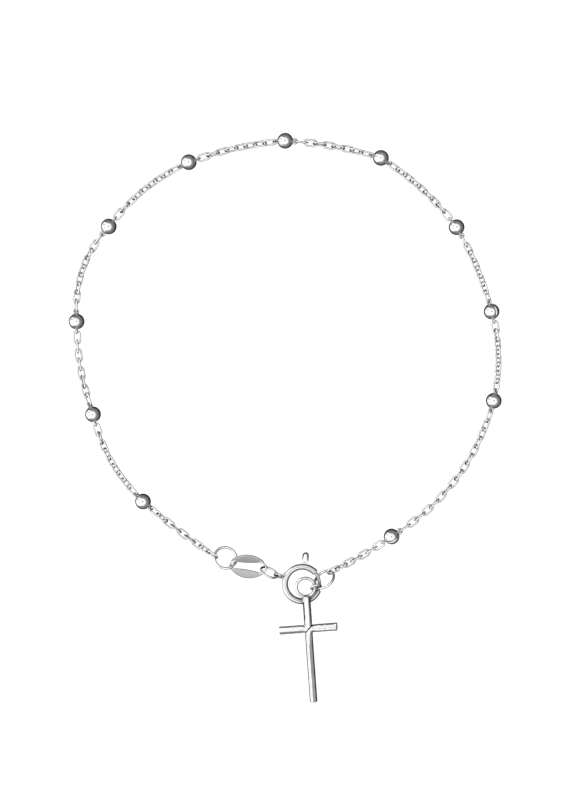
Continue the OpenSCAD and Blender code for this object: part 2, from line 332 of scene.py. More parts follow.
def joined(name, shapes, cuts, sharp):
    """The union of closed shapes, less the cuts, as one mesh. It is worked out at one unit a millimetre."""
    first = made(name, shapes[0].mesh(name, 1.0))
    steps = [("UNION", shape) for shape in shapes[1:]] + [("DIFFERENCE", shape) for shape in cuts]
    for k, (kind, shape) in enumerate(steps):
        other = made(f"{name}_{k}", shape.mesh(f"{name}_{k}", 1.0))
        change = first.modifiers.new("change", "BOOLEAN")
        change.operation = kind
        change.solver = "EXACT"
        change.object = other
        data = bpy.data.meshes.new_from_object(first.evaluated_get(bpy.context.evaluated_depsgraph_get()))
        first.modifiers.clear()
        first.data = data
        bpy.data.objects.remove(other)
    data = first.data
    data.name = name
    data.transform(((MM, 0, 0, 0), (0, MM, 0, 0), (0, 0, MM, 0), (0, 0, 0, 1)))
    smoothed(data)
    mark_sharp(first, sharp)
    return first


def mark_sharp(obj, degrees):
    """Leaves the edges that turn by more than so many degrees unsmoothed."""
    work = bmesh.new()
    work.from_mesh(obj.data)
    for edge in work.edges:
        if len(edge.link_faces) == 2 and edge.calc_face_angle(0) > math.radians(degrees):
            edge.smooth = False
    work.to_mesh(obj.data)
    work.free()


# Materials
BRIGHT, FILM, GREY_FILM = (0.94, 0.94, 0.935), (0.84, 0.84, 0.84), (0.8, 0.8, 0.8)
SOLDER, DULL_SOLDER = (0.82, 0.82, 0.8), (0.66, 0.66, 0.65)


def nodes_of(material):
    """The node tree of a new material, and its shader."""
    material.use_nodes = True
    tree = material.node_tree
    shader = next(n for n in tree.nodes if n.type == "BSDF_PRINCIPLED")
    return tree, shader


def noise(tree, scale, detail=3.0, stretch=None):
    """Noise over the object's own coordinates. scale is in features a metre."""
    place = tree.nodes.new("ShaderNodeTexCoord")
    texture = tree.nodes.new("ShaderNodeTexNoise")
    texture.inputs["Scale"].default_value = scale
    texture.inputs["Detail"].default_value = detail
    source = place.outputs["Object"]
    if stretch:
        mapping = tree.nodes.new("ShaderNodeMapping")
        mapping.inputs["Rotation"].default_value = stretch[0]
        mapping.inputs["Scale"].default_value = stretch[1]
        tree.links.new(source, mapping.inputs["Vector"])
        source = mapping.outputs["Vector"]
    tree.links.new(source, texture.inputs["Vector"])
    return texture.outputs["Fac"]


def ramp(tree, value, stops):
    """A colour, or a tone, for each value. stops holds pairs of a value and its tone."""
    node = tree.nodes.new("ShaderNodeValToRGB")
    elements = node.color_ramp.elements
    for k, (at, colour) in enumerate(stops):
        element = elements[k] if k < 2 else elements.new(at)
        element.position = at
        element.color = (*colour, 1) if isinstance(colour, tuple) else (colour, colour, colour, 1)
    tree.links.new(value, node.inputs["Fac"])
    return node.outputs["Color"]


def bumped(tree, shader, height, strength, distance, before=None):
    """Bumps by height, on top of the bumps that before gives."""
    node = tree.nodes.new("ShaderNodeBump")
    node.inputs["Strength"].default_value = strength
    node.inputs["Distance"].default_value = distance
    tree.links.new(height, node.inputs["Height"])
    if before:
        tree.links.new(before, node.inputs["Normal"])
    tree.links.new(node.outputs["Normal"], shader.inputs["Normal"])
    return node.outputs["Normal"]


FILM_SCALE, WEAR_SCALE = 1400.0, 5200.0
DENT_DEPTH, SCRATCH_DEPTH = 0.06, 0.01
SCRATCH_TURN, SCRATCH_STRETCH = (0.5, 0.3, 0.8), (1.0, 0.06, 1.0)


def silver(name, dull, rough, grain, dent, scratch, painted_shade_tone, reach, light=BRIGHT):
    """Polished silver: a thin grey film in patches, painted shade in crevices, between parts and where the
    metal faces the floor, fine scratches and soft dents.

    The film's tone goes from dull to light, rough is the range of roughness, and grain the fineness of dents.
    painted_shade_tone is the darkest tone of the painted shade, on the most hidden metal, and reach is how
    far, in mm, what hides it may lie."""
    material = bpy.data.materials.new(name)
    tree, shader = nodes_of(material)
    shader.inputs["Metallic"].default_value = 1.0
    film = ramp(tree, noise(tree, FILM_SCALE, 4.0), [(0.35, dull), (0.62, light)])
    # Painted shade: ambient occlusion darkens the base colour in crevices, between parts and on the sides that
    # face the floor
    painted_shade_ao = tree.nodes.new("ShaderNodeAmbientOcclusion")
    painted_shade_ao.samples = 8
    painted_shade_ao.inputs["Distance"].default_value = reach * MM
    shade = ramp(tree, painted_shade_ao.outputs["AO"], [(0.45, painted_shade_tone), (0.93, 1.0)])
    mixed = tree.nodes.new("ShaderNodeMix")
    mixed.data_type = "RGBA"
    mixed.blend_type = "MULTIPLY"
    mixed.inputs["Factor"].default_value = 1.0
    tree.links.new(film, mixed.inputs["A"])
    tree.links.new(shade, mixed.inputs["B"])
    tree.links.new(mixed.outputs["Result"], shader.inputs["Base Color"])
    wear = ramp(tree, noise(tree, WEAR_SCALE, 3.0), [(0.3, rough[0]), (0.7, rough[1])])
    tree.links.new(wear, shader.inputs["Roughness"])
    soft = bumped(tree, shader, noise(tree, grain / 6, 2.0), dent, DENT_DEPTH * MM)
    lines = noise(tree, grain * 2.2, 2.0, (SCRATCH_TURN, SCRATCH_STRETCH))
    bumped(tree, shader, lines, scratch, SCRATCH_DEPTH * MM, soft)
    return material


def rolled_silver(name):
    """Flat rolled silver with a fine grain along the flat link."""
    material = bpy.data.materials.new(name)
    tree, shader = nodes_of(material)
    shader.inputs["Metallic"].default_value = 1.0
    shader.inputs["Anisotropic"].default_value = 0.4
    turn = (0.0, 0.0, math.radians(-TAG[1]))
    grain = noise(tree, 26000.0, 3.0, (turn, (0.05, 1.0, 1.0)))
    tone = ramp(tree, grain, [(0.3, (0.5, 0.5, 0.505)), (0.7, (0.63, 0.63, 0.635))])
    tree.links.new(tone, shader.inputs["Base Color"])
    wear = ramp(tree, grain, [(0.25, 0.3), (0.75, 0.42)])
    tree.links.new(wear, shader.inputs["Roughness"])
    bumped(tree, shader, grain, 0.12, 0.006 * MM)
    return material


# Each silver below darkens its hidden metal with painted shade: the tone and the reach say how dark and how
# far
bead_silver = silver(
    "bead_silver", dull=FILM, rough=(0.03, 0.08), grain=12000.0,
    dent=0.02, scratch=0.04, painted_shade_tone=0.5, reach=1.5,
)
wire_silver = silver(
    "wire_silver", dull=BRIGHT, rough=(0.05, 0.12), grain=16000.0,
    dent=0.1, scratch=0.08, painted_shade_tone=0.3, reach=0.35,
)
ring_silver = silver(
    "ring_silver", dull=BRIGHT, rough=(0.05, 0.12), grain=12000.0,
    dent=0.07, scratch=0.08, painted_shade_tone=0.2, reach=0.6,
)
clasp_silver = silver(
    "clasp_silver", dull=FILM, rough=(0.04, 0.11), grain=10000.0,
    dent=0.05, scratch=0.08, painted_shade_tone=0.15, reach=2.5,
)
cross_silver = silver(
    "cross_silver", dull=GREY_FILM, rough=(0.07, 0.16), grain=9000.0,
    dent=0.3, scratch=0.14, painted_shade_tone=0.15, reach=2.5,
)
solder_silver = silver(
    "solder_silver", dull=DULL_SOLDER, rough=(0.16, 0.3), grain=20000.0,
    dent=0.3, scratch=0.1, painted_shade_tone=0.35, reach=1.0, light=SOLDER,
)
tag_silver = rolled_silver("tag_silver")


def dressed(obj, body, replaced, materials):
    """Gives a piece its materials and says which body and solids it stands for."""
    for m in materials:
        obj.data.materials.append(m)
    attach(obj, body)
    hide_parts(*replaced)
    return obj


# Chain: every link is a closed loop through its neighbours, not quite straight beside them
LOOSE_ROLL = 3


def chain(side):
    """All links on one side of the bracelet, as one piece."""
    shape = Shape()
    verts, faces = link_shape()
    for stretch in STRETCHES[side]:
        for centre, d, roll in stretch.link_poses():
            axes = along(d, roll + rng.uniform(-LOOSE_ROLL, LOOSE_ROLL))
            flipped = np.diag([1, -1, -1]) if rng.random() < 0.5 else np.eye(3)
            shape.add(verts @ flipped @ axes.T + centre, faces)
    piece = made(f"{side}_chain_links", shape.mesh(f"{side}_chain_links"))
    return dressed(piece, "bracelet", [f"chain_{side}"], [wire_silver])


# Beads: balls with a solder seam through both poles, and a wire eye each side. Seams are (width, depth), and
# the open ones, by bead and with their turn, show in the photo as dark lines
FINE_SEAM, OPEN_SEAM = (0.06, 0.012), (0.11, 0.09)
OPEN_SEAMS = {4: 61, 6: 54}
NEAR_SEAM = (0.4, 0.8, 1.3, 1.9, 2.7, 3.6, 4.8, 6.2, 8.0, 9.5, 11.5, 13.5, 16.5)
COLLAR, COLLAR_ANGLE = 0.03, 12


def ball(d, seam_turn, seam_w, seam_depth):
    """A ball whose poles lie on direction d. A low collar of solder surrounds each pole."""
    seam = math.radians(seam_turn)
    steps = set(np.round(np.linspace(0, 360, 72, endpoint=False), 3))
    for side in (0, 180):
        for off in NEAR_SEAM:
            steps |= {round(side + off, 3), round((side - off) % 360, 3)}
    phi = np.radians(np.array(sorted(steps)))
    theta = np.radians(np.arange(4, 177, 4))
    t, p = np.meshgrid(theta, phi, indexing="ij")
    off = BEAD_R * np.sin(t) * np.abs(np.sin(p))
    from_pole = np.degrees(np.minimum(t, math.pi - t))
    r = BEAD_R - seam_depth * np.exp(-((off / seam_w) ** 2)) * np.clip(from_pole / 20 - 0.6, 0, 1)
    r = r + COLLAR * np.exp(-((from_pole / COLLAR_ANGLE) ** 2))
    across, up = r * np.sin(t) * np.cos(p + seam), r * np.sin(t) * np.sin(p + seam)
    verts = np.stack([r * np.cos(t), across, up], 2).reshape(-1, 3)
    faces = grid_faces(len(theta), len(phi), False, True)
    pole = BEAD_R + COLLAR
    verts = np.concatenate([verts, [[pole, 0, 0], [-pole, 0, 0]]])
    n, last = len(phi), (len(theta) - 1) * len(phi)
    for j in range(n):
        k = (j + 1) % n
        faces.append([len(verts) - 2, j, k])
        faces.append([len(verts) - 1, last + k, last + j])
    return verts @ along(d, 0).T, faces


def bead(i):
    """A ball with two eyes, each turned to meet the chain's nearest link."""
    centre = bead_pos(i)
    shape, heads = Shape(), []
    for s in ALL_STRETCHES:
        poses = list(s.link_poses())
        if s.start == i:
            d = unit(s.at(EYE_REACH) - centre)
            heads.append((d, centre + d * EYE_REACH, poses[0][2]))
        if s.end == i:
            d = unit(centre - s.at(s.length - EYE_REACH))
            heads.append((d, centre - d * EYE_REACH, poses[-1][2]))
    middle = unit(heads[0][0] + heads[1][0])
    if i in OPEN_SEAMS:
        verts, faces = ball(middle, OPEN_SEAMS[i], *OPEN_SEAM)
    else:
        verts, faces = ball(middle, rng.uniform(-80, 80), *FINE_SEAM)
    shape.add(verts + centre, faces)
    for d, at, roll in heads:
        eye = ring_shape(EYE_R, EYE_WIRE, rng.uniform(0, 360), sides=14, steps=44)
        eye.placed(along(d, roll + 90), at)
        shape.join(eye)
    name = f"ball_{i:02d}"
    piece = made(name, shape.mesh(name))
    return dressed(piece, "bracelet", [f"bead_{i:02d}"], [bead_silver])


def ring(name, pose, seam, node, wobble):
    """A closed ring of round wire at a pose, in place of a node."""
    centre, heading, tilt, r, wire = pose
    shape = ring_shape(r, wire, seam, wobble=wobble).placed(turned(heading, tilt), centre)
    piece = made(name, shape.mesh(name))
    return dressed(piece, "bracelet", [node], [ring_silver])


# Flat link: two leaf shaped flats, splayed a little, and a bow at each end, rolled from one wire
FLAT_HALF, FLAT_OUT, FLAT_IN, TIP_Y, FLAT_T, SPLAY = 2.3, 1.87, 0.55, 0.8, 0.24, 4
FLAT_EDGE, FLAT_DOME = 0.06, 0.015
TWIST = {-1: 0.0, 1: 0.1}
BOW_X, BOW_WIRE, BOW_SPAN = 1.75, 0.14, 200
BOW_R = {-1: 0.66, 1: 0.86}


def arc_rise(x, half, rise):
    """Height at x of a circle's arc over a chord of twice half."""
    r = (half * half + rise * rise) / (2 * rise)
    return math.sqrt(r * r - x * x) - (r - rise)


def leaf(side):
    """One flat: outer and inner arcs meet in two tips, the rim is rolled over, the face is slightly domed."""
    columns = 46
    across = [0, 0.04, 0.1, 0.2, 0.35, 0.5, 0.65, 0.8, 0.9, 0.96, 1]
    splay = math.radians(SPLAY)
    top, bottom = [], []
    for k in range(columns + 1):
        u = -math.cos(math.pi * k / columns)
        x = FLAT_HALF * u
        outer = TIP_Y + arc_rise(x, FLAT_HALF, FLAT_OUT - TIP_Y)
        inner = TIP_Y - arc_rise(x, FLAT_HALF, TIP_Y - FLAT_IN)
        width = max(outer - inner, 0.02)
        for share in across:
            y = inner + width * share
            near = min(share, 1 - share) * width
            drop = FLAT_EDGE * (1 - math.sqrt(max(0, 1 - (1 - min(near / FLAT_EDGE, 1)) ** 2)))
            half = FLAT_T / 2 - drop + FLAT_DOME * (1 - (2 * share - 1) ** 2) * (1 - u * u)
            out_x = x * math.cos(splay) - y * math.sin(splay)
            out_y = side * (x * math.sin(splay) + y * math.cos(splay))
            level = TWIST[side] * (y - (TIP_Y + FLAT_OUT) / 2)
            top.append((out_x, out_y, level + half))
            bottom.append((out_x, out_y, level - half))
    rows, cols = columns + 1, len(across)
    verts = top + bottom
    faces = grid_faces(rows, cols, False, False)
    shift = len(top)
    faces += [[k + shift for k in reversed(f)] for f in grid_faces(rows, cols, False, False)]
    rim = [i * cols for i in range(rows)] + [(rows - 1) * cols + j for j in range(1, cols)]
    rim += [i * cols + cols - 1 for i in range(rows - 2, -1, -1)] + [j for j in range(cols - 2, 0, -1)]
    for k, a in enumerate(rim):
        b = rim[(k + 1) % len(rim)]
        faces.append([a, b, b + shift, a + shift])
    return verts, faces


def bow(side):
    """Half a wire ring whose ends sink into the flats, flattened where they do."""
    r, sides, steps = BOW_R[side], 18, 32
    path, sections = [], []
    for k in range(steps + 1):
        a = math.radians(BOW_SPAN * (k / steps - 0.5))
        out = np.array([side * math.cos(a), math.sin(a), 0])
        path.append(np.array([side * BOW_X, 0, 0]) + r * out)
        flat = max(0, (abs(2 * k / steps - 1) - 0.76) / 0.24)
        wide, tall = BOW_WIRE * (1 + 0.2 * flat), BOW_WIRE * (1 - 0.3 * flat)
        turns = [2 * math.pi * j / sides for j in range(sides)]
        sections.append([wide * math.cos(b) * out + np.array([0, 0, tall * math.sin(b)]) for b in turns])
    return swept(path, sections)


def tag():
    shape = Shape()
    for side in (-1, 1):
        shape.add(*leaf(side), slot=0)
        shape.add(*bow(side), slot=1)
    shape.placed(turned(TAG[1], TAG[2]), TAG[0])
    piece = made("flat_oval_link", shape.mesh("flat_oval_link"))
    return dressed(piece, "bracelet", ["tag_link"], [tag_silver, ring_silver])


# Clasp: a hollow ring with a gap and a slot, its eye, and the sprung tongue with its tab
CLASP_SHARP = 50
GAP_FROM, GAP_TO = -22, 40
LIP, LIP_ANGLE = 0.03, 1.6
SLOT_FROM, SLOT_TO, SLOT_H = 76, 144, 0.36
TONGUE_FROM, TONGUE_TO, TAB_ANGLE, TAB_ROLL = -32, 95, 83, 10
TAB_FROM, TAB_TO, TAB_W, TAB_T = 3.14, 4.48, 0.92, 0.46
TAB_CORNER, TAB_EDGE = 0.13, 0.08
# The tab's groove: how far in from the rim its inner edge, its bottom and its outer edge lie, how deep it is,
# and the length over which it comes up from the foot
GROOVE_IN, GROOVE_DEPTH, GROOVE_RUN_IN = (0.27, 0.17, 0.07), 0.15, 0.35
NECK_FROM, NECK_TO, NECK_W, NECK_H = 2.5, 3.34, 0.4, 0.24
CLASP_EYE_ANGLE, CLASP_EYE_MID, CLASP_EYE_TILT = 161, 3.535, -65.6
CLASP_EYE_R, CLASP_EYE_WIRE, CLASP_EYE_SEAM = 0.56, 0.14, 130
# The solder's run from the tube to the eye, as (angle, reach), and the foot that it ends in
RUN_FROM, RUN_TO, RUN_HEADING = (146, 2.6), (CLASP_EYE_ANGLE, 3.06), 62
FOOT_REACH = 2.7
# The run's radius at its waist, and what it gains at the tube and at the eye
RUN_R, RUN_ROOT, RUN_SWELL = 0.17, 0.14, 0.06


def around(a, reach, z):
    """A point at angle a and distance reach from the clasp's middle."""
    return (reach * math.cos(math.radians(a)), reach * math.sin(math.radians(a)), z)


def hollow_ring():
    """The tube: an outer and an inner skin, joined at the two mouths and round the slot."""
    mouth = 360 + GAP_FROM
    angles = [GAP_TO, GAP_TO + 0.6, GAP_TO + LIP_ANGLE]
    angles += list(np.arange(GAP_TO + 3, SLOT_FROM, 3.0))
    angles += list(np.arange(SLOT_FROM, SLOT_TO + 1, 4.0))
    angles += list(np.arange(SLOT_TO + 3, mouth - 2, 3.0))
    angles += [mouth - LIP_ANGLE, mouth - 0.6, mouth]
    slot_half = 3
    closed = 36 - 2 * slot_half

    def section(radius):
        """Section angles from the slot's upper edge round to its lower edge, and then across the slot."""
        edge = math.asin(SLOT_H / 2 / radius)
        b = list(np.linspace(edge, 2 * math.pi - edge, closed + 1))
        return b + list(np.linspace(-edge, edge, 2 * slot_half + 1)[1:-1])

    verts = []
    for radius, lip in ((TUBE_R, -LIP), (BORE_R, LIP)):
        for a in angles:
            near = min(a - GAP_TO, mouth - a)
            r = radius + lip * (1 - min(near / LIP_ANGLE, 1)) ** 2
            verts += [around(a, CLASP_R + r * math.cos(b), r * math.sin(b)) for b in section(radius)]
    rows = len(angles)
    columns = len(section(TUBE_R))

    def at(i, j, skin=0):
        return skin * rows * columns + i * columns + j % columns

    def wall(i, j, k, m):
        """A face across the metal, between one edge of the outer skin and the same edge of the inner skin."""
        return [at(i, j), at(k, m), at(k, m, 1), at(i, j, 1)]

    faces = []
    for i in range(rows - 1):
        open_here = SLOT_FROM <= angles[i] < SLOT_TO
        for j in range(closed if open_here else columns):
            faces.append([at(i, j), at(i + 1, j), at(i + 1, j + 1), at(i, j + 1)])
            faces.append([at(i, j + 1, 1), at(i + 1, j + 1, 1), at(i + 1, j, 1), at(i, j, 1)])
    for i in (0, rows - 1):
        faces += [wall(i, j, i, j + 1) for j in range(columns)]
    inside = [i for i in range(rows) if SLOT_FROM <= angles[i] <= SLOT_TO]
    for i, k in zip(inside[:-1], inside[1:]):
        faces += [wall(i, j, k, j) for j in (closed, 0)]
    for i in (inside[0], inside[-1]):
        faces += [wall(i, j, i, j + 1) for j in range(closed, columns)]
    return verts, faces


def clasp_eye():
    shape = ring_shape(CLASP_EYE_R, CLASP_EYE_WIRE, CLASP_EYE_SEAM, sides=20, steps=72)
    return shape.placed(turned(CLASP_EYE_ANGLE, CLASP_EYE_TILT), around(CLASP_EYE_ANGLE, CLASP_EYE_MID, 0))


def solder():
    """Solder that leaves the tube sideways, waisted, and swells again round the foot of the eye."""
    steps, sides = 20, 24
    path, sections = [], []
    for k in range(steps + 1):
        s = k / steps
        a = RUN_FROM[0] + (RUN_TO[0] - RUN_FROM[0]) * s
        path.append(around(a, RUN_FROM[1] + (RUN_TO[1] - RUN_FROM[1]) * s, 0))
        heading = math.radians(a + RUN_HEADING)
        across = np.array([-math.sin(heading), math.cos(heading), 0])
        r = RUN_R + RUN_ROOT * (1 - s) ** 1.6 + RUN_SWELL * max(0, s - 0.75)
        turns = [2 * math.pi * j / sides for j in range(sides)]
        sections.append([r * (math.cos(b) * across + math.sin(b) * np.array([0, 0, 1.0])) for b in turns])
    foot = [(0, 0), (0, 0.3)]
    foot += [(0.36 * s, 0.15 + 0.15 * (1 - s) ** 2) for s in np.linspace(0.1, 1, 10)]
    foot += [(0.4, 0.08), (0.41, 0)]
    a = math.radians(CLASP_EYE_ANGLE)
    axes = np.stack([[-math.sin(a), math.cos(a), 0], [0, 0, 1], [math.cos(a), math.sin(a), 0]], 1)
    shape = Shape().add(*lathe(foot, 28)).placed(axes, around(CLASP_EYE_ANGLE, FOOT_REACH, 0))
    return shape.add(*swept(path, sections))


def clasp():
    """The tube with its eye, and the solder that holds the eye."""
    shape = Shape().add(*hollow_ring())
    shape.join(clasp_eye())
    shape.join(solder(), 1)
    shape.placed(np.eye(3), CLASP)
    piece = made("spring_ring", shape.mesh("spring_ring"))
    mark_sharp(piece, CLASP_SHARP)
    return dressed(piece, "bracelet", ["clasp_body"], [clasp_silver, solder_silver])


def tongue():
    """A curved round rod whose tip is rounded off."""
    sides = 20
    angles = list(np.linspace(TONGUE_FROM, TONGUE_TO, 64))
    tip = math.degrees(TONGUE_R / CLASP_R)
    verts = []
    rings = []
    for k in range(1, 8):
        s = math.sin(k * math.pi / 16)
        rings.append((TONGUE_FROM + tip * (1 - math.cos(k * math.pi / 16)), TONGUE_R * s))
    rings += [(a, TONGUE_R) for a in angles if a > TONGUE_FROM + tip]
    for a, r in rings:
        for j in range(sides):
            b = 2 * math.pi * j / sides
            verts.append(around(a, CLASP_R + r * math.cos(b), r * math.sin(b)))
    faces = grid_faces(len(rings), sides, False, True)
    faces.append(list(range(sides)))
    faces.append([(len(rings) - 1) * sides + j for j in reversed(range(sides))])
    return verts, faces


def tab():
    """The thumb tab: a plate with a round end and soft edges. A groove runs round it, but not at its foot."""
    half = TAB_W / 2
    corners = [
        (TAB_FROM + TAB_CORNER, TAB_CORNER - half, TAB_CORNER, 180, 270, 8),
        (TAB_TO - half, 0, half, -90, 90, 24),
        (TAB_FROM + TAB_CORNER, half - TAB_CORNER, TAB_CORNER, 90, 180, 8),
    ]
    outline = []
    for x, y, r, start, end, steps in corners:
        for a in np.radians(np.linspace(start, end, steps + 1)):
            outline.append((x + r * math.cos(a), y + r * math.sin(a)))
    outline = np.array(outline)
    middle = np.array([(TAB_FROM + TAB_TO) / 2, 0])
    size = np.linalg.norm(outline - middle, axis=1)[:, None]
    depth = np.clip((outline[:, :1] - TAB_FROM) / GROOVE_RUN_IN, 0.2, 1)
    rings = [(inset, TAB_T / 2 - drop) for inset, drop in zip(GROOVE_IN, (0, GROOVE_DEPTH, 0))]
    for a in np.linspace(0, math.pi / 2, 7)[1:]:
        rings.append((TAB_EDGE * (1 - math.sin(a)), TAB_T / 2 - TAB_EDGE * (1 - math.cos(a))))
    rings += [(inset, -z) for inset, z in reversed(rings)]
    verts = []
    for inset, z in rings:
        shrunk = middle + (outline - middle) * np.clip(1 - inset / size, 0.05, 1)
        level = np.sign(z) * (TAB_T / 2 - (TAB_T / 2 - abs(z)) * depth)
        verts += np.hstack([shrunk, level]).tolist()
    n = len(outline)
    faces = grid_faces(len(rings), n, False, True)
    verts += [(*middle, rings[0][1]), (*middle, rings[-1][1])]
    last = (len(rings) - 1) * n
    for j in range(n):
        k = (j + 1) % n
        faces.append([len(verts) - 2, j, k])
        faces.append([len(verts) - 1, last + k, last + j])
    return verts, faces


def box_shape(low, high):
    """A box between two opposite corners."""
    verts = [(x, y, z) for x in (low[0], high[0]) for y in (low[1], high[1]) for z in (low[2], high[2])]
    faces = [[0, 1, 3, 2], [4, 6, 7, 5], [0, 4, 5, 1], [2, 3, 7, 6], [0, 2, 6, 4], [1, 5, 7, 3]]
    return verts, faces


def trigger():
    """The tongue, and the tab on a neck that passes through the slot."""
    knob = Shape().add(*tab())
    knob.add(*box_shape((NECK_FROM, -NECK_W / 2, -NECK_H / 2), (NECK_TO, NECK_W / 2, NECK_H / 2)))
    knob.placed(along(np.array(around(TAB_ANGLE, 1, 0)), TAB_ROLL), (0, 0, 0))
    shape = Shape().add(*tongue()).join(knob)
    shape.placed(np.eye(3), CLASP)
    piece = made("sprung_tongue", shape.mesh("sprung_tongue"))
    mark_sharp(piece, CLASP_SHARP)
    return dressed(piece, "trigger", ["clasp_trigger"], [clasp_silver])


# Cross: two round bars soldered at the crossing, and a round eyelet that the neck sinks into
STEM_R, FOOT_R, NECK_R = 0.54, 0.53, 0.59
ARM_R, ARM_END_R = 0.53, 0.56
NECK_SINK = 0.12
# Flats filed on the bars: side, an angle from the bar's right as seen from its end, where 90 is the top;
# share, what is left of the radius there; and run-in, the length over which the flat gets to its depth
STEM_FLATS = [(63, 0.8, 2.5), (25, 0.82, 2.5), (165, 0.92, 1)]
NECK_FLATS = [(20, 0.83, 1.5), (150, 0.9, 1)]
RIGHT_FLATS = [(72, 0.85, 1), (98, 0.92, 1)]
LEFT_FLATS = [(108, 0.86, 1), (56, 0.9, 1)]


def bar_shape(profile, direction, at, flats, slant=0.0, marks=0.0, turns=48):
    """A turned bar laid along direction, filed flat in places. slant cuts its end askew, so that it faces up.

    marks is the depth, as a share of the radius, of the shallow file marks all over it."""
    verts, faces = lathe(profile, turns)
    verts = np.array(verts)
    length, end_r = profile[-1][0], profile[-2][1]
    near_end = np.clip((verts[:, 2] - length) / 0.2 + 1.5, 0, 1)
    verts[:, 2] -= near_end * slant * (verts[:, 1] + end_r)
    for side, share, run_in in flats:
        r = np.hypot(verts[:, 0], verts[:, 1])
        off = np.cos(np.arctan2(verts[:, 1], verts[:, 0]) - math.radians(side))
        level = r.max() * (1 - (1 - share) * np.clip(verts[:, 2] / run_in, 0, 1))
        keep = np.minimum(1, level / np.maximum(r * off, 1e-9))
        verts[:, :2] *= np.where(off > 0.5, keep, 1)[:, None]
    a = np.arctan2(verts[:, 1], verts[:, 0])
    waves = np.sin(12 * verts[:, 2] + 2 * np.sin(3 * a)) * np.cos(5 * a + 4 * verts[:, 2])
    verts[:, :2] *= (1 - marks * waves)[:, None]
    axis = np.array(direction, float)
    up = np.array([0, 0, 1.0])
    axes = np.stack([np.cross(up, axis), up, axis], 1)
    return Shape().add(verts, faces).placed(axes, at)


def solder_lump(wide, tall, turns=40, steps=16):
    """A flattened ball at the crossing, which fills the corners between the bars."""
    profile = []
    for k in range(steps + 1):
        a = math.pi * (k / steps - 0.5)
        profile.append((tall * math.sin(a), wide * math.cos(a)))
    return Shape().add(*lathe(profile, turns))


def crease(wide, tall, half, depth, heading, steps=96):
    """A V groove, twice half wide, that runs round the crossing in the upright plane at heading."""
    a = math.radians(heading)
    run, across = np.array([math.cos(a), math.sin(a), 0]), np.array([-math.sin(a), math.cos(a), 0])
    rise = 0.06
    verts = []
    for k in range(steps):
        t = 2 * math.pi * k / steps
        p = wide * math.cos(t) * run + tall * math.sin(t) * np.array([0, 0, 1.0])
        out = unit(p)
        verts += [p + rise * out + half * across, p - depth * out, p + rise * out - half * across]
    return Shape().add(verts, grid_faces(steps, 3, True, True))


def cross():
    """The bars, the eyelet and the solder as one mesh, which leans from its foot up to its eyelet."""
    lean = math.degrees(math.atan((EYELET[2] - FOOT_Z) / CROSS_L))
    at = (0, -CROSS_AT, 0)
    neck = rounded_bar(CROSS_AT - EYELET_R + NECK_SINK, STEM_R, NECK_R, edge=0.3, steps=40)
    stem = rounded_bar(CROSS_L - CROSS_AT, STEM_R, FOOT_R, edge=0.1, steps=40)
    arm = rounded_bar(CROSS_W / 2, ARM_R, ARM_END_R, edge=0.06, steps=60)
    shapes = [
        bar_shape(neck, (0, 1, 0), at, NECK_FLATS, marks=0.012),
        bar_shape(stem, (0, -1, 0), at, STEM_FLATS),
        bar_shape(arm, (1, 0, 0), at, RIGHT_FLATS, slant=0.2, marks=0.03),
        bar_shape(arm, (-1, 0, 0), at, LEFT_FLATS, marks=0.025),
        ring_shape(EYELET_R, EYELET_WIRE, seam=80, sides=24),
        solder_lump(wide=0.84, tall=0.56).placed(np.eye(3), at),
    ]
    cuts = [crease(wide=0.88, tall=0.57, half=0.12, depth=0.18, heading=45).placed(np.eye(3), at)]
    for shape in shapes + cuts:
        shape.placed(turned(CROSS_TURN, lean), EYELET)
    piece = joined("cross_and_eyelet", shapes, cuts, sharp=21)
    return dressed(piece, "bracelet", ["cross"], [cross_silver])


for side in ("right", "left"):
    chain(side)
for number in range(1, len(BEAD_XY) + 1):
    bead(number)
ring("jump_ring_a", JUMP_LEFT, seam=118, node="jump_ring_left", wobble=0.004)
ring("jump_ring_b", JUMP_RIGHT, seam=250, node="jump_ring_right", wobble=0.004)
ring("tag_joint", TAG_RING, seam=95, node="tag_ring", wobble=0.003)
ring("cross_joint", CROSS_RING, seam=200, node="cross_ring", wobble=0.003)
tag()
clasp()
trigger()
cross()


# Studio. The photo's scale holds at the height of the beads' middles
PHOTO_W, PHOTO_H = 569, 797
ORIGIN_PX = (285.9, 417.9)
MM_PER_PX = 0.14
LENS, SENSOR = 100.0, 36.0


def overhead_camera():
    """The photo's camera, straight above."""
    data = bpy.data.cameras.new("camera")
    data.lens = LENS
    data.sensor_width = SENSOR
    data.clip_start = 0.01
    data.clip_end = 20.0
    camera = bpy.data.objects.new("camera", data)
    x = (PHOTO_W / 2 - ORIGIN_PX[0]) * MM_PER_PX
    y = (ORIGIN_PX[1] - PHOTO_H / 2) * MM_PER_PX
    z = PHOTO_H * MM_PER_PX * LENS / SENSOR + BEAD_R
    camera.location = (x * MM, y * MM, z * MM)
    bpy.context.scene.collection.objects.link(camera)
    bpy.context.scene.camera = camera


def pale_floor():
    """A white floor that glows a little, so that it comes out as white as the photo's."""
    half = 4.0
    data = bpy.data.meshes.new("floor")
    corners = [(-half, -half, 0), (half, -half, 0), (half, half, 0), (-half, half, 0)]
    data.from_pydata(corners, [], [[0, 1, 2, 3]])
    floor = made("floor", data)
    material = bpy.data.materials.new("pale_floor")
    tree, shader = nodes_of(material)
    shader.inputs["Roughness"].default_value = 0.9
    shader.inputs["Specular IOR Level"].default_value = 0.0
    tone = ramp(tree, noise(tree, 30.0), [(0.3, 0.13), (0.7, 0.15)])
    tree.links.new(tone, shader.inputs["Base Color"])
    shader.inputs["Emission Color"].default_value = (1, 1, 1, 1)
    shader.inputs["Emission Strength"].default_value = 0.98
    floor.data.materials.append(material)
    floor.visible_glossy = False


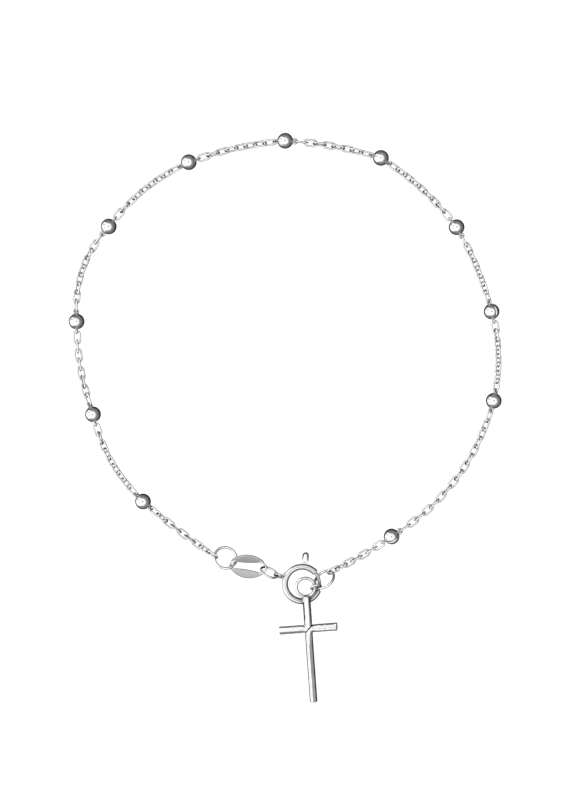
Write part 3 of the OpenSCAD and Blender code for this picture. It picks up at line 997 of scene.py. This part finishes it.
# Brightness of the tent by the cosine from an axis: overhead, and through the window
SKY = [
    (-1.0, 0.01), (-0.72, 0.02), (-0.52, 0.08), (-0.3, 0.15), (0.1, 0.21), (0.31, 0.28), (0.5, 0.44),
    (0.62, 0.76), (0.71, 1.16), (1.0, 1.18),
]
SKY_AT = (-0.2, -0.16, 1.0)
WINDOW = [(0.54, 0.0), (0.64, 1.16)]
WINDOW_AT = (-0.9, -0.05, 0.43)
# Shades on it: the lens's dark spot, a stand's thin pole to the left, a strip of a great circle, and its knob
LENS_SPOT = [(0.984, 1.0), (0.991, 0.0)]
POLE_SIDE, POLE_AT = (-0.391, -0.921, 0.0), (-0.907, 0.385, 0.174)
POLE_WIDTH = [(-0.1, 1.0), (-0.05, 0.4), (0.05, 0.4), (0.1, 1.0)]
POLE_LENGTH = [(0.885, 1.0), (0.91, 0.0)]
KNOB_AT, KNOB = (-0.868, -0.233, 0.438), [(0.988, 1.0), (0.993, 0.7)]


def tent():
    """A light tent that only reflections see: bright overhead and to the left, and dim elsewhere."""
    bpy.ops.mesh.primitive_uv_sphere_add(segments=48, ring_count=24, radius=3.0)
    dome = bpy.context.object
    dome.name = "light_tent"
    material = bpy.data.materials.new("light_tent")
    material.use_nodes = True
    tree = material.node_tree
    tree.nodes.clear()
    place = tree.nodes.new("ShaderNodeTexCoord")
    direction = tree.nodes.new("ShaderNodeVectorMath")
    direction.operation = "NORMALIZE"
    tree.links.new(place.outputs["Object"], direction.inputs[0])

    def toward(axis, stops):
        """Brightness by the angle between a direction and axis, from -1 to 1."""
        dot = tree.nodes.new("ShaderNodeVectorMath")
        dot.operation = "DOT_PRODUCT"
        dot.inputs[1].default_value = np.array(axis) / np.linalg.norm(axis)
        tree.links.new(direction.outputs["Vector"], dot.inputs[0])
        share = tree.nodes.new("ShaderNodeMapRange")
        share.inputs["From Min"].default_value = -1.0
        tree.links.new(dot.outputs["Value"], share.inputs["Value"])
        return ramp(tree, share.outputs["Result"], [((at + 1) / 2, value) for at, value in stops])

    def combined(kind, a, b):
        node = tree.nodes.new("ShaderNodeMath")
        node.operation = kind
        tree.links.new(a, node.inputs[0])
        tree.links.new(b, node.inputs[1])
        return node.outputs["Value"]

    light = combined("MAXIMUM", toward(SKY_AT, SKY), toward(WINDOW_AT, WINDOW))
    pole = combined("MAXIMUM", toward(POLE_SIDE, POLE_WIDTH), toward(POLE_AT, POLE_LENGTH))
    for shade in (toward((0, 0, 1), LENS_SPOT), pole, toward(KNOB_AT, KNOB)):
        light = combined("MULTIPLY", light, shade)
    emission = tree.nodes.new("ShaderNodeEmission")
    tree.links.new(light, emission.inputs["Strength"])
    output = tree.nodes.new("ShaderNodeOutputMaterial")
    tree.links.new(emission.outputs["Emission"], output.inputs["Surface"])
    material.cycles.emission_sampling = "NONE"
    dome.data.materials.append(material)
    dome.visible_camera = False
    dome.visible_diffuse = False
    dome.visible_shadow = False
    dome.visible_transmission = False


def sky():
    """Even white light from all round."""
    world = bpy.data.worlds.new("white")
    bpy.context.scene.world = world
    world.use_nodes = True
    background = next(n for n in world.node_tree.nodes if n.type == "BACKGROUND")
    background.inputs["Color"].default_value = (1, 1, 1, 1)
    background.inputs["Strength"].default_value = 1.0


def softbox():
    """A large soft lamp above and to the left. Reflections see the tent in its place."""
    light = bpy.data.lights.new("softbox", "AREA")
    light.size = 0.8
    light.energy = 4.0
    lamp = bpy.data.objects.new("softbox", light)
    lamp.location = (-0.5, 0.2, 1.2)
    lamp.rotation_euler = (math.radians(-9), math.radians(-22), 0)
    lamp.visible_glossy = False
    bpy.context.scene.collection.objects.link(lamp)


overhead_camera()
pale_floor()
tent()
sky()
softbox()
bpy.context.scene.view_settings.view_transform = "Standard"
bpy.context.scene.view_settings.look = "None"
